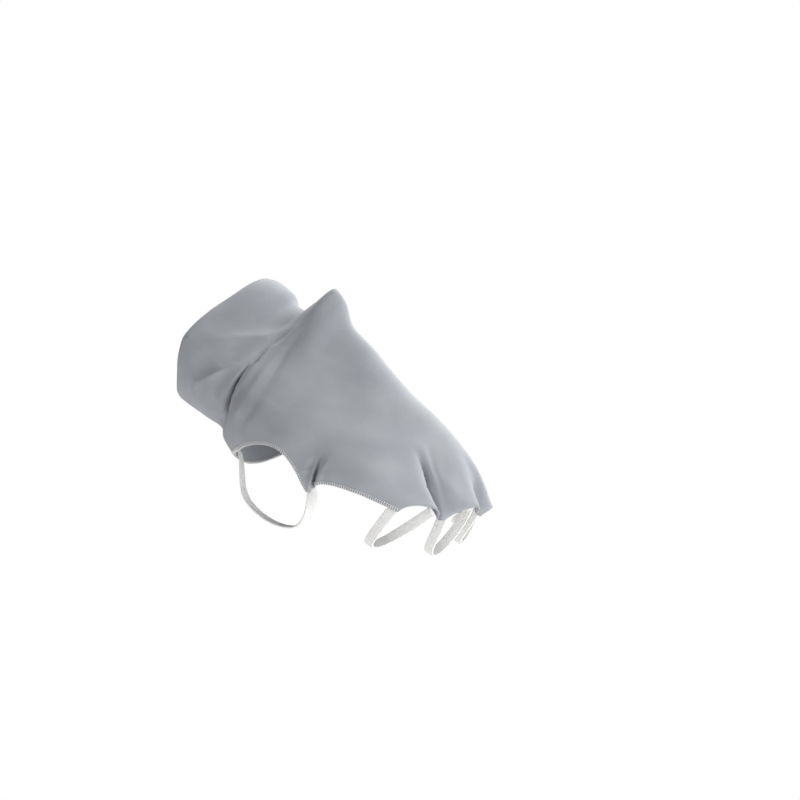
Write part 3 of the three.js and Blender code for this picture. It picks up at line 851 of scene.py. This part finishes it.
def thumbBand():
    # the points of the band from the index finger's side of the thumb to the palm side of the cuff
    tip, cuff = elastic["thumbTip"], elastic["thumbCuff"]
    points = [*under(tip), *elastic["thumbBehind"], *under(cuff)]
    tipLie = clothLie(tip[1], elastic["width"] / 2, 0)
    cuffLie = clothLie(cuff[0], 0, -elastic["tuck"])
    return points, (tipLie, np.array([0, 1.0, 0]), cuffLie)


def makeElastics():
    material = elasticMaterial()
    bands = [makeElastic(name, *fingerBand(*ends), material) for name, ends in elastic["fingers"].items()]
    return [*bands, makeElastic("thumb_loop", *thumbBand(), material)]


elasticBands = makeElastics()
print("elastic bands:", len(elasticBands))

# Overlocked edge in millimetres: each stitch wraps the edge from its row of needle thread to the back.
serging = {
    "pitch": 0.95,
    "thread": 0.13,
    "sides": 5,
    "edges": {"radial": (13.05, 19.95), "palm": (-10.95, 11.95)},
    # along the edge, into the cloth, and out of it
    "bar": [
        (-0.12, 1.15, 0.02),
        (-0.06, 0.8, 0.13),
        (0.0, 0.35, 0.14),
        (0.06, 0.0, 0.08),
        (0.1, -0.14, -0.35),
        (0.06, 0.0, -0.78),
        (0.0, 0.4, -0.84),
        (-0.1, 1.1, -0.74),
    ],
    "dash": [(-0.24, 1.15, 0.0), (-0.1, 1.15, 0.13), (0.1, 1.15, 0.13), (0.24, 1.15, 0.0)],
    "colour": (0.74, 0.72, 0.71, 1),
    "darkColour": (0.66, 0.635, 0.63, 1),
    "lightColour": (0.82, 0.81, 0.8, 1),
    "finish": {"Roughness": 0.6},
    "twist": {"Scale": 2200, "Detail": 1},
}


def threadThrough(points, radius, sides):
    # a short thread as a mesh, in local millimetres, to be copied along an edge
    points = [Vector(point) for point in points]
    turns = []
    for i, point in enumerate(points):
        ahead = (points[min(i + 1, len(points) - 1)] - points[max(i - 1, 0)]).normalized()
        turns.append(Matrix.Translation(point) @ ahead.to_track_quat("Z", "X").to_matrix().to_4x4())
    thread = bmesh.new()
    bmesh.ops.create_circle(thread, segments=sides, radius=radius, cap_ends=True, matrix=turns[0])
    ring = list(thread.edges)
    for before, after in zip(turns, turns[1:]):
        made = bmesh.ops.extrude_edge_only(thread, edges=ring)["geom"]
        verts = [item for item in made if isinstance(item, bmesh.types.BMVert)]
        ring = [item for item in made if isinstance(item, bmesh.types.BMEdge)]
        bmesh.ops.transform(thread, verts=verts, matrix=after @ before.inverted())
    bmesh.ops.holes_fill(thread, edges=[edge for edge in thread.edges if edge.is_boundary], sides=0)
    bmesh.ops.recalc_face_normals(thread, faces=thread.faces)
    mesh = bpy.data.meshes.new("thread")
    thread.to_mesh(mesh)
    thread.free()
    return mesh


def threadMaterial():
    material, tree, shader = newMaterial("sergingThread", serging)
    twist = noiseOver(tree, objectPlace(tree), serging["twist"])
    colour = mixColours(tree, twist, serging["darkColour"], serging["lightColour"])
    feed(tree, shader.inputs["Base Color"], colour)
    return material


def makeSerging(name, first, last, material):
    # the two threads of a stitch, copied all along one stretch of the edge
    points, along, inward, normals = edgeLine(first, last, serging["pitch"])
    stitches = bmesh.new()
    radius, sides = serging["thread"], serging["sides"]
    threads = [threadThrough(serging[part], radius, sides) for part in ("bar", "dash")]
    for i in range(len(points)):
        start = len(stitches.verts)
        for thread in threads:
            stitches.from_mesh(thread)
        stitches.verts.ensure_lookup_table()
        for vertex in stitches.verts[start:]:
            a, b, c = vertex.co
            vertex.co = (points[i] + along[i] * a + inward[i] * b + normals[i] * c) * mm
    bmesh.ops.recalc_face_normals(stitches, faces=stitches.faces)
    piece = makePiece(stitches, name, material)
    return piece


stitchThread = threadMaterial()
edgeSergings = [
    makeSerging(name + "_serging", first, last, stitchThread)
    for name, (first, last) in serging["edges"].items()
]
print("sergings:", [len(piece.data.polygons) for piece in edgeSergings])

# Camera at the photograph's viewing angle. Lengths are millimetres, and clip is in metres.
viewPoint = {
    "right": (0.773, 0.45, 0.447),
    "up": (-0.521, 0.05, 0.852),
    "lens": 89.9,
    "sensor": 36,
    "distance": 850,
    "principalOffset": (67.66, -13.62),
    "clip": (0.01, 100),
}


def makeCamera():
    right = Vector(viewPoint["right"]).normalized()
    up = Vector(viewPoint["up"])
    up = (up - right * up.dot(right)).normalized()
    back = right.cross(up)
    offset = viewPoint["principalOffset"]
    place = (right * offset[0] + up * offset[1] + back * viewPoint["distance"]) * mm
    camera = bpy.data.objects.new("camera", bpy.data.cameras.new("camera"))
    camera.matrix_world = Matrix.Translation(place) @ Matrix((right, up, back)).transposed().to_4x4()
    camera.data.lens = viewPoint["lens"]
    camera.data.sensor_width = viewPoint["sensor"]
    camera.data.clip_start, camera.data.clip_end = viewPoint["clip"]
    bpy.context.scene.collection.objects.link(camera)
    bpy.context.scene.camera = camera


makeCamera()

# White studio, in metres and watts.
studio = {
    "white": (1, 1, 1, 1),
    "floorDrop": 0.6,
    "floorSize": 80,
    "paper": {"colour": (0.8, 0.8, 0.8, 1), "finish": {"Roughness": 0.9}},
    "brightSide": (1, 0.3, 0),
    "dimStrength": 0.35,
    "brightStrength": 2,
    "backdropStrength": 1,
    "aim": (0.05, 0, 0),
    # place, size, watts
    "lights": {
        "fingersLight": ((0.45, -0.15, 0.05), 0.3, 0.6),
        "backLight": ((0.1, 0.7, 0.5), 0.6, 5),
        "palmLight": ((0.3, -0.5, -0.35), 0.4, 1),
        "wristLight": ((-0.25, 0.3, 0.45), 0.4, 3.5),
    },
}


def whiteToCamera(tree, lit, white, output):
    # the camera sees plain white, and the object gets the real light
    seen = addNode(tree, "ShaderNodeLightPath").outputs["Is Camera Ray"]
    mix = addNode(tree, "ShaderNodeMixShader", inputs={"Fac": seen})
    tree.links.new(lit.outputs[0], mix.inputs[1])
    tree.links.new(white.outputs[0], mix.inputs[2])
    tree.links.new(mix.outputs["Shader"], output.inputs["Surface"])


def makeWorld():
    world = bpy.data.worlds.new("studio")
    world.use_nodes = True
    tree = world.node_tree
    direction = addNode(tree, "ShaderNodeTexCoord").outputs["Generated"]
    facing = addNode(tree, "ShaderNodeVectorMath", {"operation": "DOT_PRODUCT"})
    tree.links.new(direction, facing.inputs[0])
    facing.inputs[1].default_value = Vector(studio["brightSide"]).normalized()
    towards = facing.outputs["Value"]
    strength = rangeOver(tree, towards, 0, 1, studio["dimStrength"], studio["brightStrength"])
    surround = tree.nodes["Background"]
    surround.inputs["Color"].default_value = studio["white"]
    tree.links.new(strength, surround.inputs["Strength"])
    plain = {"Color": studio["white"], "Strength": studio["backdropStrength"]}
    backdrop = addNode(tree, "ShaderNodeBackground", inputs=plain)
    whiteToCamera(tree, surround, backdrop, tree.nodes["World Output"])
    bpy.context.scene.world = world
    bpy.context.scene.view_settings.view_transform = "Standard"


def makeFloor():
    paper, tree, shader = newMaterial("paleFloor", studio["paper"])
    glow = addNode(tree, "ShaderNodeEmission", inputs={"Strength": studio["backdropStrength"]})
    whiteToCamera(tree, shader, glow, tree.nodes["Material Output"])
    sheet = bmesh.new()
    bmesh.ops.create_grid(sheet, x_segments=1, y_segments=1, size=studio["floorSize"] / 2)
    bmesh.ops.translate(sheet, verts=sheet.verts, vec=(0, 0, -studio["floorDrop"]))
    mesh = bpy.data.meshes.new("floor")
    sheet.to_mesh(mesh)
    sheet.free()
    mesh.materials.append(paper)
    floor = bpy.data.objects.new("floor", mesh)
    bpy.context.scene.collection.objects.link(floor)


def makeLights():
    for name, (place, size, watts) in studio["lights"].items():
        lamp = bpy.data.objects.new(name, bpy.data.lights.new(name, "AREA"))
        lamp.data.shape = "DISK"
        lamp.data.size = size
        lamp.data.energy = watts
        lamp.location = place
        lamp.rotation_euler = (Vector(studio["aim"]) - Vector(place)).to_track_quat("-Z", "Y").to_euler()
        lamp.visible_camera = False
        bpy.context.scene.collection.objects.link(lamp)


makeWorld()
makeFloor()
makeLights()
print("studio lights:", ", ".join(studio["lights"]))
